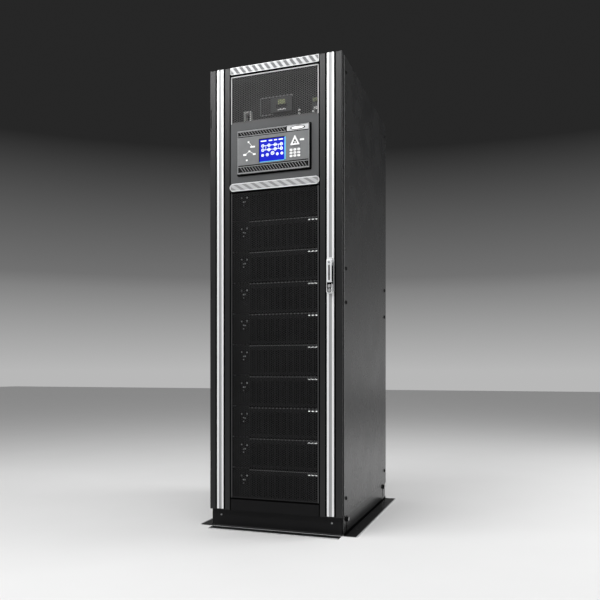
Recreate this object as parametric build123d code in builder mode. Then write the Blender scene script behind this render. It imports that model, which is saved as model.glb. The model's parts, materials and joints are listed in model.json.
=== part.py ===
"""Modular UPS cabinet: a floor-standing steel enclosure for ten slide-in power modules.

Millimetres. X runs to the right and Y to the back, as seen from the front, and Z runs up.
The origin is on the floor under the middle of the cabinet. The modules set its size: the width,
depth and height below are what they need around them.
"""

import os

from build123d import *

# Sheet metal and fits
panel_sheet = 1.5
frame_sheet = 2.0
seat_gap = 0.3
door_gap = 5.0

# Power modules
module_count = 10
module_pitch = 136.5
module_height = 133.0
module_fascia_width = 482.0
module_fascia_depth = 14.0
module_ear = 21.0
module_depth = 690.0
module_edge = 1.0
grille_left = 101.0
grille_right = 56.0
grille_margin = 3.0
grille_proud = 4.0
grille_slots = 11
grille_rib = 7.0
grille_slot_depth = 6.0
grille_slot_corner = 3.0
grille_top_band = 21.0
grille_foot_band = 8.0

# Space around the modules
fascia_side_gap = 21.0
fascia_setback = 65.0
rear_cable_space = 145.0
stack_floor_gap = 39.5

# Base, feet and floor brackets
feet_height = 30.0
base_height = 52.0
base_inset = 27.0
base_rail_width = 40.0
base_rail_sheet = 3.0
foot_pad_radius = 18.0
foot_pad_height = 8.0
foot_stem_radius = 8.0
foot_inset = 45.0
bracket_sheet = 3.0
bracket_top_gap = 2.0
bracket_end_gap = 4.0
bracket_flange = 60.0
bracket_bend = 6.0
flange_hole_radius = 4.5
flange_hole_count = 5
flange_hole_end = 48.0
side_anchor_radius = 7.0
side_anchor_end = 126.0

# Frame, uprights and slides
post_width = 38.0
post_depth = 40.0
post_face_band = 25.0
head_height = 48.0
upright_clearance = 6.0
upright_depth = 40.0
slide_sheet = 1.5
slide_shelf = 60.0
slide_wall = 22.0
shelf_sheet = 2.0

# Roof
roof_height = 25.0

# Switch compartment behind the upper mesh, heights from the shelf over the modules
switch_plate_setback = 90.0
switch_width = 98.0
switch_height = 66.0
switch_depth = 25.0
switch_offset = 11.0
switch_rise = 323.0
switch_edge = 4.0
guard_width = 34.0
guard_height = 52.0
guard_bar = 7.0
guard_depth = 25.0
guard_end_distance = 112.0
guard_rise = 292.0
terminal_width = 62.0
terminal_height = 84.0
terminal_depth = 25.0
terminal_end_distance = 84.0
terminal_rise = 288.0
terminal_split = 48.0

# Door
door_lip = 4.0
door_depth = 30.0
door_drop = 2.0
door_sheet = 1.5
nose_radius = 1.9
column_width = 95.0
column_tube_clearance = 6.0
trim_width = 31.0
trim_offset = 34.0
trim_groove = 3.0
trim_depth = 2.5
trim_proud = 1.0
trim_edge = 1.2
trim_flute_width = 13.0
trim_flute_depth = 0.8
trim_foot = 3.0
bottom_plate_height = 49.0
bar_height = 33.5
bar_thickness = 4.0
bar_end_gap = 1.5
bar_above_stack = 9.0
upper_mesh_height = 216.0
cap_height = 31.0
cap_proud = 2.0
cap_corner = 12.0
mesh_sheet = 1.5
mesh_setback = 2.5

# Display housing
display_width = 328.0
display_height = 188.0
display_depth = 12.0
display_margin_below = 34.5
display_margin_above = 35.0
display_corner = 3.0
upper_band_height = 28.0
lower_band_height = 35.0
display_groove = 2.5
screen_width = 114.0
screen_height = 96.5
screen_from_left = 103.5
screen_from_bottom = 43.8
screen_recess = 1.5
screen_thickness = 1.0

# Hinges
hinge_count = 3
hinge_length = 80.0
hinge_end_distance = 210.0
hinge_leaf_width = 30.0
hinge_leaf_sheet = 1.5
knuckle_radius = 3.0
hinge_pin_radius = 1.75
hinge_play = 0.05
knuckle_gap = 1.0

# Swing handle on the right column, its height from the foot of the door
handle_width = 33.0
handle_length = 150.0
handle_rise = 923.0
dish_thickness = 2.5
dish_corner = 13.0
lock_block_width = 25.0
lock_block_height = 37.0
lock_block_thickness = 16.0
lock_block_margin = 3.0
lock_block_edge = 2.0
lever_width = 23.0
lever_thickness = 12.0
lever_gap = 6.0
lever_end_gap = 6.0
lever_edge = 1.5
lever_groove_width = 4.0
lever_groove_depth = 3.0
lever_groove_margin = 12.0
pivot_from_top = 15.0
hub_radius = 13.0
hub_thickness = 5.0
hub_stem_radius = 7.0
hub_play = 0.1
lug_width = 8.0
pivot_pin_radius = 2.5
cheek_clearance = 0.4
button_size = 13.0
cylinder_radius = 7.0
lock_proud = 1.5
lock_spacing = 17.0
lock_recess = 4.0

# Places worked out from the sizes above
module_body_half = module_fascia_width / 2 - module_ear
half_width = module_fascia_width / 2 + fascia_side_gap + post_width
cabinet_depth = fascia_setback + module_depth + rear_cable_space
front_y = -cabinet_depth / 2
back_y = cabinet_depth / 2
fascia_y = front_y + fascia_setback
base_top = feet_height + base_height
stack_bottom = base_top + stack_floor_gap
stack_top = stack_bottom + module_count * module_pitch
bar_top = stack_top + bar_above_stack
bar_bottom = bar_top - bar_height
display_bottom = bar_top + display_margin_below
display_top = display_bottom + display_height
display_plate_top = display_top + display_margin_above
cap_bottom = display_plate_top + upper_mesh_height
cabinet_height = cap_bottom + cap_height
roof_bottom = cabinet_height - roof_height

base_half_width = half_width - bracket_sheet
base_half_depth = cabinet_depth / 2 - base_inset
bracket_top = base_top - bracket_top_gap
frame_front_y = front_y + door_lip + door_gap
post_inner_x = half_width - post_width
post_outer_x = half_width - panel_sheet - seat_gap
post_back_y = frame_front_y + post_depth
side_panel_front_y = frame_front_y + post_face_band
rear_frame_y = back_y - panel_sheet - seat_gap
rear_post_front_y = rear_frame_y - post_depth
upright_inner_x = module_body_half + upright_clearance
wall_x = post_inner_x - frame_sheet
upright_front_y = fascia_y + module_fascia_depth + seat_gap
slide_front_y = upright_front_y + upright_depth + seat_gap
slide_back_y = rear_post_front_y - upright_depth - seat_gap
switch_plate_y = front_y + switch_plate_setback
switch_floor = stack_top + shelf_sheet

door_bottom = base_top - door_drop
lip_back_y = front_y + door_lip
door_back_y = front_y + door_depth
recess_y = front_y + trim_depth
stile_bottom = base_top + frame_sheet + door_gap
stile_top = cabinet_height - head_height - door_gap
column_inner_x = half_width - column_width
field_half = column_inner_x - seat_gap
tube_outer_x = post_inner_x - column_tube_clearance
trim_outer_x = half_width - trim_offset
trim_inner_x = trim_outer_x - trim_width
trim_front_y = front_y - trim_proud
lower_mesh_bottom = door_bottom + bottom_plate_height
display_front_y = front_y - display_depth

hinge_x = -half_width + knuckle_radius
hinge_y = front_y + knuckle_radius
hinge_run = cabinet_height - door_bottom - 2 * hinge_end_distance
hinge_middles = [door_bottom + hinge_end_distance + hinge_run * step / (hinge_count - 1)
                 for step in range(hinge_count)]

handle_x = (trim_inner_x + trim_outer_x) / 2
handle_bottom = door_bottom + handle_rise
handle_top = handle_bottom + handle_length
pivot_z = handle_top - pivot_from_top
dish_front_y = trim_front_y - dish_thickness
hub_back_y = dish_front_y - hub_play
pivot_y = dish_front_y - lever_gap - lever_thickness / 2
lever_front_y = pivot_y - lever_thickness / 2
lever_back_y = pivot_y + lever_thickness / 2
lock_block_bottom = handle_bottom + lock_block_margin
lock_block_top = lock_block_bottom + lock_block_height
lock_middle_z = (lock_block_bottom + lock_block_top) / 2
lever_bottom = lock_block_top + lever_end_gap

os.makedirs("parts", exist_ok=True)


def save(piece, label):
    """Names a finished piece and writes it out."""
    piece.part.label = label
    export_step(piece.part, f"parts/{label}.step")


def save_mirrored(piece, label):
    """Writes the piece's twin on the other side of the cabinet."""
    with BuildPart() as twin:
        mirror(piece.part, about=Plane.YZ)
    save(twin, label)


def block(low, high, mode=Mode.ADD):
    """A plate or block between two opposite corners, added to the piece in hand."""
    middle = tuple((a + b) / 2 for a, b in zip(low, high))
    with Locations(middle):
        Box(*(b - a for a, b in zip(low, high)), mode=mode)


def facing_front(y):
    """A sketch plane at depth y whose X and Y are the cabinet's X and Z. Extruding comes forward."""
    return Plane.XZ.offset(-y)


def facing_side(x):
    """A sketch plane at x whose X and Y are the cabinet's Y and Z. Extruding goes to the right."""
    return Plane.YZ.offset(x)


# Base frame: two side channels, and two cross channels between them
with BuildPart() as base_frame:
    middle_z = feet_height + base_height / 2
    hollow_height = base_height - 2 * base_rail_sheet
    for side in (-1, 1):
        with BuildSketch(facing_front(base_half_depth)):
            with Locations((side * (base_half_width - base_rail_width / 2), middle_z)):
                Rectangle(base_rail_width, base_height)
            with Locations((side * (base_half_width - base_rail_width / 2 - base_rail_sheet), middle_z)):
                Rectangle(base_rail_width, hollow_height, mode=Mode.SUBTRACT)
        extrude(amount=2 * base_half_depth)
    cross_half = base_half_width - base_rail_width - seat_gap
    for end in (-1, 1):
        with BuildSketch(facing_side(-cross_half)):
            with Locations((end * (base_half_depth - base_rail_width / 2), middle_z)):
                Rectangle(base_rail_width, base_height)
            with Locations((end * (base_half_depth - base_rail_width / 2 - base_rail_sheet), middle_z)):
                Rectangle(base_rail_width, hollow_height, mode=Mode.SUBTRACT)
        extrude(amount=2 * cross_half)
save(base_frame, "base_frame")

# Levelling feet: a pad and a stem under each end of the side channels
with BuildPart() as foot:
    with BuildSketch(Plane.XZ):
        with BuildLine():
            Polyline((0, 0), (foot_pad_radius, 0), (foot_stem_radius * 1.5, foot_pad_height),
                     (foot_stem_radius, foot_pad_height), (foot_stem_radius, feet_height), (0, feet_height),
                     close=True)
        make_face()
    revolve(axis=Axis.Z)
with BuildPart() as levelling_feet:
    foot_x = base_half_width - base_rail_width / 2
    foot_y = base_half_depth - foot_inset
    with GridLocations(2 * foot_x, 2 * foot_y, 2, 2):
        add(foot.part)
save(levelling_feet, "levelling_feet")

# Floor brackets: angles that close the space under the cabinet and bolt it to the floor
with BuildPart() as front_bracket:
    inner_y = -base_half_depth
    face_y = inner_y - bracket_sheet
    bracket_half = base_half_width - bracket_end_gap
    with BuildSketch(facing_side(-bracket_half)) as front_bracket_section:
        with BuildLine():
            Polyline((inner_y, 0), (face_y - bracket_flange, 0), (face_y - bracket_flange, bracket_sheet),
                     (face_y, bracket_sheet), (face_y, bracket_top), (inner_y, bracket_top), close=True)
        make_face()
        fillet(front_bracket_section.vertices().sort_by_distance((face_y, bracket_sheet))[0], bracket_bend)
        fillet(front_bracket_section.vertices().sort_by_distance((inner_y, 0))[0],
               bracket_bend + bracket_sheet)
    extrude(amount=2 * bracket_half)
    hole_run = 2 * (bracket_half - flange_hole_end)
    with Locations((0, face_y - bracket_flange / 2, bracket_sheet)):
        with GridLocations(hole_run / (flange_hole_count - 1), 1, flange_hole_count, 1):
            Hole(flange_hole_radius, bracket_sheet)
save(front_bracket, "front_bracket")
with BuildPart() as rear_bracket:
    mirror(front_bracket.part, about=Plane.XZ)
save(rear_bracket, "rear_bracket")

with BuildPart() as right_bracket:
    bracket_half = base_half_depth + bracket_sheet
    with BuildSketch(facing_front(bracket_half)) as right_bracket_section:
        with BuildLine():
            Polyline((base_half_width, 0), (half_width + bracket_flange, 0),
                     (half_width + bracket_flange, bracket_sheet), (half_width, bracket_sheet),
                     (half_width, bracket_top), (base_half_width, bracket_top), close=True)
        make_face()
        fillet(right_bracket_section.vertices().sort_by_distance((half_width, bracket_sheet))[0],
               bracket_bend)
        fillet(right_bracket_section.vertices().sort_by_distance((base_half_width, 0))[0],
               bracket_bend + bracket_sheet)
    extrude(amount=2 * bracket_half)
    with Locations((half_width + bracket_flange / 2, 0, bracket_sheet)):
        with GridLocations(1, 2 * (bracket_half - side_anchor_end), 1, 2):
            Hole(side_anchor_radius, bracket_sheet)
save(right_bracket, "right_bracket")
save_mirrored(right_bracket, "left_bracket")

# Floor pan on the base frame
with BuildPart() as floor_pan:
    block((-post_inner_x + seat_gap, -base_half_depth, base_top),
          (post_inner_x - seat_gap, base_half_depth, base_top + frame_sheet))
save(floor_pan, "floor_pan")

# Front posts: folded hollow sections with a step that the side panel laps
with BuildPart() as right_front_post:
    with BuildSketch(Plane.XY.offset(base_top)):
        with BuildLine():
            step_y = side_panel_front_y - seat_gap
            Polyline((post_inner_x, frame_front_y), (half_width, frame_front_y), (half_width, step_y),
                     (post_outer_x, step_y), (post_outer_x, post_back_y), (post_inner_x, post_back_y),
                     close=True)
        make_face()
    extrude(amount=cabinet_height - base_top)
    offset(amount=-frame_sheet, openings=right_front_post.faces().sort_by(Axis.Z)[0], kind=Kind.INTERSECTION)
save(right_front_post, "right_front_post")
save_mirrored(right_front_post, "left_front_post")

with BuildPart() as right_rear_post:
    with BuildSketch(Plane.XY.offset(base_top)):
        with Locations(((post_inner_x + post_outer_x) / 2, rear_frame_y - post_depth / 2)):
            Rectangle(post_outer_x - post_inner_x, post_depth)
        offset(amount=-frame_sheet, kind=Kind.INTERSECTION, mode=Mode.SUBTRACT)
    extrude(amount=roof_bottom - base_top)
save(right_rear_post, "right_rear_post")
save_mirrored(right_rear_post, "left_rear_post")

# Head: the front cross member between the posts
with BuildPart() as front_head:
    with BuildSketch(facing_side(-post_inner_x + seat_gap)):
        with Locations(((frame_front_y + post_back_y) / 2, cabinet_height - head_height / 2)):
            Rectangle(post_depth, head_height)
        offset(amount=-frame_sheet, kind=Kind.INTERSECTION, mode=Mode.SUBTRACT)
    extrude(amount=2 * (post_inner_x - seat_gap))
save(front_head, "front_head")

# Uprights: channels behind the ears of the modules and at the back, which carry the slides and the shelf
with BuildPart() as right_uprights:
    for low_y in (upright_front_y, slide_back_y + seat_gap):
        with BuildSketch(Plane.XY.offset(base_top + frame_sheet)):
            with BuildLine():
                high_y = low_y + upright_depth
                Polyline((upright_inner_x, low_y), (post_inner_x, low_y), (post_inner_x, high_y),
                         (upright_inner_x, high_y), (upright_inner_x, high_y - frame_sheet),
                         (wall_x, high_y - frame_sheet), (wall_x, low_y + frame_sheet),
                         (upright_inner_x, low_y + frame_sheet), close=True)
            make_face()
        extrude(amount=stack_top - seat_gap - base_top - frame_sheet)
save(right_uprights, "right_uprights")
save_mirrored(right_uprights, "left_uprights")

# Slides: an angle on each side under every module
with BuildPart() as right_module_slides:
    for slot in range(module_count):
        top = stack_bottom + slot * module_pitch
        with BuildSketch(facing_front(slide_back_y)):
            with BuildLine():
                Polyline((wall_x - slide_shelf, top - slide_sheet), (wall_x, top - slide_sheet),
                         (wall_x, top + slide_wall), (wall_x - slide_sheet, top + slide_wall),
                         (wall_x - slide_sheet, top), (wall_x - slide_shelf, top), close=True)
            make_face()
        extrude(amount=slide_back_y - slide_front_y)
save(right_module_slides, "right_module_slides")
save_mirrored(right_module_slides, "left_module_slides")


def power_module(bottom):
    """A module: a closed case, its wider front plate and a raised grille of upright slots."""
    middle_z = bottom + module_height / 2
    fascia_left = -module_fascia_width / 2
    grille_width = module_fascia_width - grille_left - grille_right
    grille_x = fascia_left + grille_left + grille_width / 2
    slot_pitch = (grille_width - grille_rib) / grille_slots
    slot_low = bottom + grille_margin + grille_foot_band
    slot_high = bottom + module_height - grille_margin - grille_top_band
    with BuildPart() as module:
        block((-module_body_half, fascia_y, bottom),
              (module_body_half, fascia_y + module_depth, bottom + module_height))
        with BuildSketch(facing_front(fascia_y + module_fascia_depth)):
            with Locations((0, middle_z)):
                Rectangle(module_fascia_width, module_height)
        extrude(amount=module_fascia_depth)
        with BuildSketch(facing_front(fascia_y)):
            with Locations((grille_x, middle_z)):
                Rectangle(grille_width, module_height - 2 * grille_margin)
        extrude(amount=grille_proud)
        chamfer(module.faces().sort_by(Axis.Y)[0].edges(), module_edge)
        with BuildSketch(facing_front(fascia_y - grille_proud)):
            with Locations((grille_x, (slot_low + slot_high) / 2)):
                with GridLocations(slot_pitch, 1, grille_slots, 1):
                    RectangleRounded(slot_pitch - grille_rib, slot_high - slot_low, grille_slot_corner)
        extrude(amount=-grille_slot_depth, mode=Mode.SUBTRACT)
    return module


for slot in range(module_count):
    save(power_module(stack_bottom + slot * module_pitch), f"power_module_{slot + 1:02d}")

# Shelf over the modules
with BuildPart() as bay_shelf:
    block((-post_inner_x, upright_front_y, stack_top),
          (post_inner_x, rear_post_front_y - seat_gap, switch_floor))
save(bay_shelf, "bay_shelf")

# Back plate of the switch compartment, and what is fixed to it
with BuildPart() as switch_plate:
    block((-post_inner_x, switch_plate_y, switch_floor),
          (post_inner_x, switch_plate_y + frame_sheet, roof_bottom - seat_gap))
save(switch_plate, "switch_plate")

with BuildPart() as switch_unit:
    with BuildSketch(facing_front(switch_plate_y)):
        with Locations((switch_offset, stack_top + switch_rise + switch_height / 2)):
            RectangleRounded(switch_width, switch_height, switch_edge)
    extrude(amount=switch_depth)
    fillet(switch_unit.faces().sort_by(Axis.Y)[0].edges(), switch_edge / 2)
save(switch_unit, "switch_unit")

with BuildPart() as cable_guard:
    guard_x = guard_end_distance - post_inner_x
    with BuildSketch(facing_front(switch_plate_y)):
        with Locations((guard_x, stack_top + guard_rise + guard_height / 2)):
            Rectangle(guard_width, guard_height)
        with Locations((guard_x, stack_top + guard_rise + (guard_height - guard_bar) / 2)):
            Rectangle(guard_width - 2 * guard_bar, guard_height - guard_bar, mode=Mode.SUBTRACT)
    extrude(amount=guard_depth)
save(cable_guard, "cable_guard")

with BuildPart() as terminal_cover:
    with BuildSketch(facing_side(post_inner_x - terminal_end_distance - terminal_width / 2)):
        low_z = stack_top + terminal_rise
        with BuildLine():
            Polyline((switch_plate_y, low_z), (switch_plate_y - terminal_depth, low_z),
                     (switch_plate_y - terminal_depth, low_z + terminal_split),
                     (switch_plate_y - terminal_depth / 2, low_z + terminal_split),
                     (switch_plate_y - terminal_depth / 2, low_z + terminal_height),
                     (switch_plate_y, low_z + terminal_height), close=True)
        make_face()
    extrude(amount=terminal_width)
save(terminal_cover, "terminal_cover")

# Roof: an upturned tray behind the head
with BuildPart() as roof_panel:
    block((-post_outer_x, post_back_y + seat_gap, roof_bottom),
          (post_outer_x, rear_frame_y, cabinet_height))
    offset(amount=-frame_sheet, openings=roof_panel.faces().sort_by(Axis.Z)[0])
save(roof_panel, "roof_panel")

# Side panels
with BuildPart() as right_side_panel:
    block((half_width - panel_sheet, side_panel_front_y, base_top + seat_gap),
          (half_width, back_y, cabinet_height))
save(right_side_panel, "right_side_panel")
save_mirrored(right_side_panel, "left_side_panel")

# Rear panels, which meet at the top of the modules
for label, low, high in (("rear_lower_panel", base_top + seat_gap, stack_top),
                         ("rear_upper_panel", stack_top + seat_gap, cabinet_height)):
    with BuildPart() as rear_panel:
        block((-post_outer_x, back_y - panel_sheet, low), (post_outer_x, back_y, high))
    save(rear_panel, label)

# Door columns: a face with a lip that laps the frame and a channel for the trim strip, on a hollow stile
with BuildPart() as plain_column:
    with BuildSketch(Plane.XY.offset(door_bottom)):
        with BuildLine():
            Polyline((column_inner_x, front_y), (trim_inner_x - trim_groove, front_y),
                     (trim_inner_x - trim_groove, recess_y), (trim_outer_x + trim_groove, recess_y),
                     (trim_outer_x + trim_groove, front_y), (half_width, front_y),
                     (half_width, lip_back_y), (column_inner_x, lip_back_y), close=True)
        make_face()
    extrude(amount=cabinet_height - door_bottom)
    fillet(plain_column.edges().filter_by(Axis.Z).group_by(Axis.X)[-1], nose_radius)
    with BuildSketch(Plane.XY.offset(stile_bottom)):
        with Locations(((column_inner_x + tube_outer_x) / 2, (lip_back_y + door_back_y) / 2)):
            Rectangle(tube_outer_x - column_inner_x, door_back_y - lip_back_y)
        offset(amount=-door_sheet, kind=Kind.INTERSECTION, mode=Mode.SUBTRACT)
    extrude(amount=stile_top - stile_bottom)

with BuildPart() as door_left_column:
    mirror(plain_column.part, about=Plane.YZ)
    for z in hinge_middles:
        block((-half_width, front_y, z - hinge_length / 2 - knuckle_gap),
              (hinge_x + knuckle_radius + knuckle_gap, lip_back_y, z + hinge_length / 2 + knuckle_gap),
              mode=Mode.SUBTRACT)
save(door_left_column, "door_left_column")


def spindle_hole(near_y, far_y):
    """Cuts the handle's spindle hole through the piece in hand, between two depths."""
    with Locations((handle_x, (near_y + far_y) / 2, pivot_z)):
        Cylinder(hub_stem_radius + hub_play, far_y - near_y, rotation=(90, 0, 0), mode=Mode.SUBTRACT)


with BuildPart() as door_right_column:
    add(plain_column.part)
    spindle_hole(front_y, lip_back_y)
save(door_right_column, "door_right_column")

# Trim strips in the channels of the columns
with BuildPart() as left_trim_strip:
    with BuildSketch(Plane.XY.offset(door_bottom + trim_foot)):
        with Locations((-handle_x, (recess_y + trim_front_y) / 2)):
            Rectangle(trim_width, recess_y - trim_front_y)
        with Locations((-handle_x, trim_front_y + trim_flute_depth / 2)):
            Rectangle(trim_flute_width, trim_flute_depth, mode=Mode.SUBTRACT)
    extrude(amount=cabinet_height - door_bottom - trim_foot)
    front_edges = left_trim_strip.edges().filter_by(Axis.Z).group_by(Axis.Y)[0].sort_by(Axis.X)
    fillet([front_edges[0], front_edges[-1]], trim_edge)
save(left_trim_strip, "left_trim_strip")
with BuildPart() as right_trim_strip:
    mirror(left_trim_strip.part, about=Plane.YZ)
    spindle_hole(trim_front_y, recess_y)
save(right_trim_strip, "right_trim_strip")

# Between the columns: cap, meshes, display plate, divider bar and bottom plate
with BuildPart() as door_top_cap:
    block((-field_half, front_y - cap_proud, cap_bottom), (field_half, lip_back_y, cabinet_height))
    fillet(door_top_cap.edges().filter_by(Axis.Y).group_by(Axis.Z)[0], cap_corner)
save(door_top_cap, "door_top_cap")

for label, low, high in (("upper_mesh", display_plate_top, cap_bottom),
                         ("lower_mesh", lower_mesh_bottom, bar_bottom)):
    with BuildPart() as mesh:
        mesh_y = front_y + mesh_setback
        block((-field_half, mesh_y, low + seat_gap), (field_half, mesh_y + mesh_sheet, high - seat_gap))
    save(mesh, label)

with BuildPart() as display_plate:
    block((-field_half, front_y, bar_bottom), (field_half, door_back_y, display_plate_top))
    offset(amount=-door_sheet, openings=display_plate.faces().sort_by(Axis.Y)[-1])
save(display_plate, "display_plate")

with BuildPart() as divider_bar:
    with BuildSketch(facing_front(front_y)):
        with Locations((0, (bar_bottom + bar_top) / 2)):
            SlotOverall(2 * (column_inner_x - bar_end_gap), bar_height)
    extrude(amount=bar_thickness)
save(divider_bar, "divider_bar")

with BuildPart() as door_bottom_plate:
    with BuildSketch(facing_side(-field_half)):
        with BuildLine():
            Polyline((front_y, door_bottom), (front_y, lower_mesh_bottom), (door_back_y, lower_mesh_bottom),
                     (door_back_y, stile_bottom), (front_y + door_sheet, stile_bottom),
                     (front_y + door_sheet, door_bottom), close=True)
        make_face()
        with BuildLine():
            Polyline((front_y + door_sheet, stile_bottom + door_sheet),
                     (front_y + door_sheet, lower_mesh_bottom - door_sheet),
                     (door_back_y - door_sheet, lower_mesh_bottom - door_sheet),
                     (door_back_y - door_sheet, stile_bottom + door_sheet), close=True)
        make_face(mode=Mode.SUBTRACT)
    extrude(amount=2 * field_half)
save(door_bottom_plate, "door_bottom_plate")

# Display housing with a recess for the screen and a groove above and below the panel
screen_x = -display_width / 2 + screen_from_left + screen_width / 2
screen_z = display_bottom + screen_from_bottom + screen_height / 2
with BuildPart() as display_housing:
    block((-display_width / 2, display_front_y, display_bottom), (display_width / 2, front_y, display_top))
    fillet(display_housing.faces().sort_by(Axis.Y)[0].edges(), display_corner)
    with BuildSketch(facing_front(display_front_y)):
        with Locations((0, display_bottom + lower_band_height), (0, display_top - upper_band_height)):
            Rectangle(display_width, display_groove)
    extrude(amount=-display_groove, mode=Mode.SUBTRACT)
    with BuildSketch(facing_front(display_front_y)):
        with Locations((screen_x, screen_z)):
            Rectangle(screen_width, screen_height)
    extrude(amount=-screen_recess, mode=Mode.SUBTRACT)
save(display_housing, "display_housing")

with BuildPart() as display_screen:
    with BuildSketch(facing_front(display_front_y + screen_recess)):
        with Locations((screen_x, screen_z)):
            Rectangle(screen_width - 2 * seat_gap, screen_height - 2 * seat_gap)
    extrude(amount=screen_thickness)
save(display_screen, "display_screen")

# Hinges: rolled leaves; the frame's half carries the pin, and the door's half turns on it
leaf_front_y = frame_front_y - hinge_leaf_sheet
leaf_end_x = hinge_x + hinge_leaf_width
leaf_fold_x = -half_width + hinge_leaf_sheet
with BuildPart() as frame_hinges:
    for z in hinge_middles:
        with BuildSketch(Plane.XY.offset(z - hinge_length / 2)):
            with Locations((hinge_x, hinge_y)):
                Circle(knuckle_radius)
            with BuildLine():
                Polyline((-half_width, hinge_y), (-half_width, frame_front_y), (leaf_end_x, frame_front_y),
                         (leaf_end_x, leaf_front_y), (leaf_fold_x, leaf_front_y), (leaf_fold_x, hinge_y),
                         close=True)
            make_face()
        extrude(amount=hinge_length / 2 - knuckle_gap)
        with BuildSketch(Plane.XY.offset(z - knuckle_gap)):
            with Locations((hinge_x, hinge_y)):
                Circle(hinge_pin_radius)
        extrude(amount=hinge_length / 2)
save(frame_hinges, "frame_hinges")

with BuildPart() as door_hinges:
    for z in hinge_middles:
        with BuildSketch(Plane.XY.offset(z)):
            with Locations((hinge_x, hinge_y)):
                Circle(knuckle_radius)
            with BuildLine():
                leaf_back_y = lip_back_y + hinge_leaf_sheet
                Polyline((hinge_x, lip_back_y), (leaf_end_x, lip_back_y), (leaf_end_x, leaf_back_y),
                         (hinge_x, leaf_back_y), close=True)
            make_face()
            with Locations((hinge_x, hinge_y)):
                Circle(hinge_pin_radius + hinge_play, mode=Mode.SUBTRACT)
        extrude(amount=hinge_length / 2)
save(door_hinges, "door_hinges")

# Swing handle: a dish, its lock, a hub that turns in the dish and a lever that lifts on the hub's pin
with BuildPart() as handle_dish:
    with BuildSketch(facing_front(trim_front_y)):
        with Locations((handle_x, (handle_bottom + handle_top) / 2)):
            RectangleRounded(handle_width, handle_length, dish_corner)
    extrude(amount=dish_thickness)
    spindle_hole(dish_front_y, trim_front_y)
save(handle_dish, "handle_dish")

button_z = lock_middle_z + lock_spacing / 2
cylinder_z = lock_middle_z - lock_spacing / 2
lock_front_y = dish_front_y - lock_block_thickness
with BuildPart() as lock_housing:
    with BuildSketch(facing_front(dish_front_y)):
        with Locations((handle_x, lock_middle_z)):
            RectangleRounded(lock_block_width, lock_block_height, 2 * lock_block_edge)
    extrude(amount=lock_block_thickness)
    fillet(lock_housing.faces().sort_by(Axis.Y)[0].edges(), lock_block_edge)
    with BuildSketch(facing_front(lock_front_y)):
        with Locations((handle_x, button_z)):
            Rectangle(button_size, button_size)
        with Locations((handle_x, cylinder_z)):
            Circle(cylinder_radius)
    extrude(amount=-lock_recess, mode=Mode.SUBTRACT)
save(lock_housing, "lock_housing")

with BuildPart() as handle_lock:
    with BuildSketch(facing_front(lock_front_y + lock_recess)):
        with Locations((handle_x, button_z)):
            Rectangle(button_size - 2 * seat_gap, button_size - 2 * seat_gap)
        with Locations((handle_x, cylinder_z)):
            Circle(cylinder_radius - seat_gap)
    extrude(amount=lock_recess + lock_proud)
    chamfer(handle_lock.faces().sort_by(Axis.Y)[:2].edges(), lock_proud / 2)
save(handle_lock, "handle_lock")

with BuildPart() as handle_hub:
    with BuildSketch(facing_front(lip_back_y)):
        with Locations((handle_x, pivot_z)):
            Circle(hub_stem_radius)
    extrude(amount=lip_back_y - hub_back_y)
    with BuildSketch(facing_front(hub_back_y)):
        with Locations((handle_x, pivot_z)):
            Circle(hub_radius)
    extrude(amount=hub_thickness)
    with BuildSketch(facing_side(handle_x - lug_width / 2)):
        with Locations((pivot_y, pivot_z)):
            Circle(lever_thickness / 2)
        with Locations(((pivot_y + hub_back_y) / 2, pivot_z)):
            Rectangle(hub_back_y - pivot_y, lever_thickness)
        with Locations((pivot_y, pivot_z)):
            Circle(pivot_pin_radius + hinge_play, mode=Mode.SUBTRACT)
    extrude(amount=lug_width)
save(handle_hub, "handle_hub")

with BuildPart() as handle_lever:
    with BuildSketch(facing_side(handle_x - lever_width / 2)):
        with BuildLine():
            Polyline((lever_front_y, pivot_z), (lever_front_y, lever_bottom), (lever_back_y, lever_bottom),
                     (lever_back_y, pivot_z))
            ThreePointArc((lever_back_y, pivot_z), (pivot_y, pivot_z + lever_thickness / 2),
                          (lever_front_y, pivot_z))
        make_face()
    extrude(amount=lever_width)
    front_face = handle_lever.faces().filter_by(Plane.XZ).sort_by(Axis.Y)[0]
    chamfer(front_face.edges().filter_by(Axis.Z) + front_face.edges().group_by(Axis.Z)[0], lever_edge)
    slot_half = lug_width / 2 + cheek_clearance
    block((handle_x - slot_half, lever_front_y, pivot_z - lever_thickness),
          (handle_x + slot_half, lever_back_y, pivot_z + lever_thickness), mode=Mode.SUBTRACT)
    groove_top = pivot_z - lever_thickness - lever_groove_margin
    groove_bottom = lever_bottom + lever_groove_margin
    with BuildSketch(facing_front(lever_front_y)):
        with Locations((handle_x, (groove_top + groove_bottom) / 2)):
            SlotOverall(groove_top - groove_bottom, lever_groove_width, 90)
    extrude(amount=-lever_groove_depth, mode=Mode.SUBTRACT)
    with BuildSketch(facing_side(handle_x - lever_width / 2)):
        with Locations((pivot_y, pivot_z)):
            Circle(pivot_pin_radius)
    extrude(amount=lever_width)
save(handle_lever, "handle_lever")
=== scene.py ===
"""Finishes and fine details of the modular UPS cabinet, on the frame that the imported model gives."""
import json
from math import cos, pi, radians, sin, sqrt

import bpy
from mathutils import Matrix, Vector


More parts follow.
